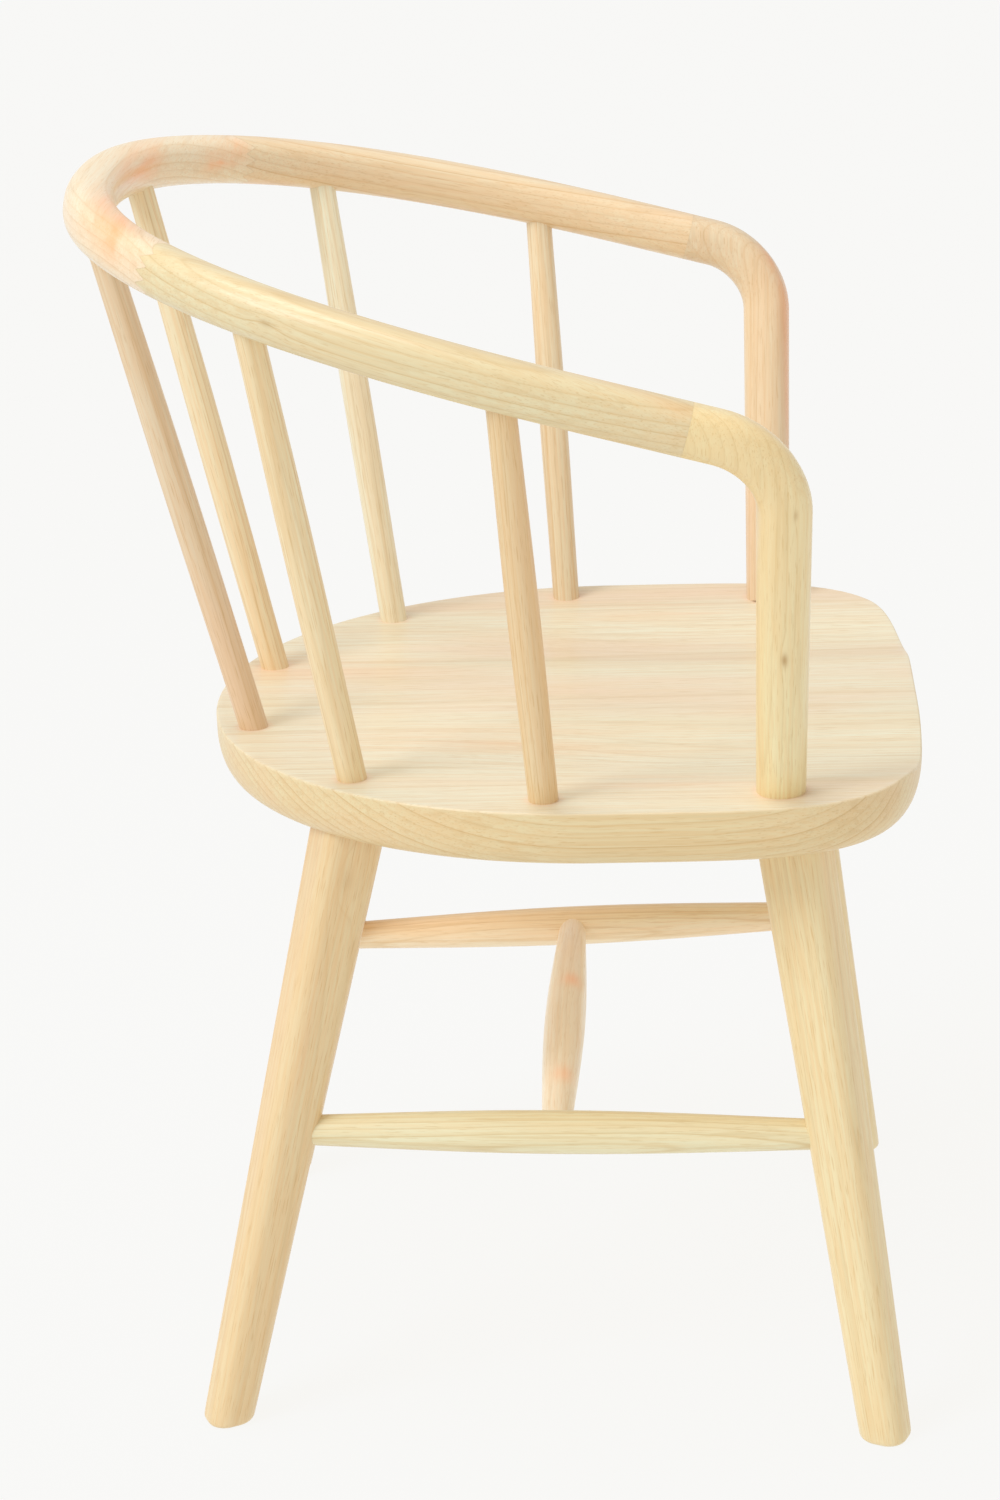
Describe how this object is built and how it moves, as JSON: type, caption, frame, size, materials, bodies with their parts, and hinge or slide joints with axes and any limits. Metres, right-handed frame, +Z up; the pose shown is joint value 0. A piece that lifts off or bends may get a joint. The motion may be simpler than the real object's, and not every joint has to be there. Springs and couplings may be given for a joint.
{
  "type": "wooden armchair",
  "caption": "Low-back wooden armchair with a bent bow for arms and back carried on spindles and two posts over a dished seat on splayed legs with an H stretcher.",
  "frame": {"origin": "on the floor under the middle of the chair's bounding box", "axes": "+Z up, -Y the way the sitter faces, +X the sitter's left; x = 0 is the mirror plane"},
  "size_m": [0.5716, 0.5342, 0.8007],
  "materials": {
    "arm_post_left_wood": "bare, lightly finished pale hardwood, satin",
    "arm_post_right_wood": "bare, lightly finished pale hardwood, satin",
    "arm_rail_left_wood": "bare, lightly finished pale hardwood, satin",
    "arm_rail_right_wood": "bare, lightly finished pale hardwood, satin",
    "crest_rail_wood": "bare, lightly finished pale hardwood, satin",
    "cross_stretcher_wood": "bare, lightly finished pale hardwood, satin",
    "leg_front_left_wood": "bare, lightly finished pale hardwood, satin",
    "leg_front_right_wood": "bare, lightly finished pale hardwood, satin",
    "leg_rear_left_wood": "bare, lightly finished pale hardwood, satin",
    "leg_rear_right_wood": "bare, lightly finished pale hardwood, satin",
    "seat_wood": "bare, lightly finished pale hardwood, satin",
    "side_stretcher_left_wood": "bare, lightly finished pale hardwood, satin",
    "side_stretcher_right_wood": "bare, lightly finished pale hardwood, satin",
    "spindle_back_left_wood": "bare, lightly finished pale hardwood, satin",
    "spindle_back_right_wood": "bare, lightly finished pale hardwood, satin",
    "spindle_front_left_wood": "bare, lightly finished pale hardwood, satin",
    "spindle_front_right_wood": "bare, lightly finished pale hardwood, satin",
    "spindle_middle_left_wood": "bare, lightly finished pale hardwood, satin",
    "spindle_middle_right_wood": "bare, lightly finished pale hardwood, satin"
  },
  "bodies": {
    "root": {"arm_post_left": "arm_post_left_wood", "arm_post_right": "arm_post_right_wood", "arm_rail_left": "arm_rail_left_wood", "arm_rail_right": "arm_rail_right_wood", "crest_rail": "crest_rail_wood", "cross_stretcher": "cross_stretcher_wood", "leg_front_left": "leg_front_left_wood", "leg_front_right": "leg_front_right_wood", "leg_rear_left": "leg_rear_left_wood", "leg_rear_right": "leg_rear_right_wood", "seat": "seat_wood", "side_stretcher_left": "side_stretcher_left_wood", "side_stretcher_right": "side_stretcher_right_wood", "spindle_back_left": "spindle_back_left_wood", "spindle_back_right": "spindle_back_right_wood", "spindle_front_left": "spindle_front_left_wood", "spindle_front_right": "spindle_front_right_wood", "spindle_middle_left": "spindle_middle_left_wood", "spindle_middle_right": "spindle_middle_right_wood"}
  },
  "joints": []
}
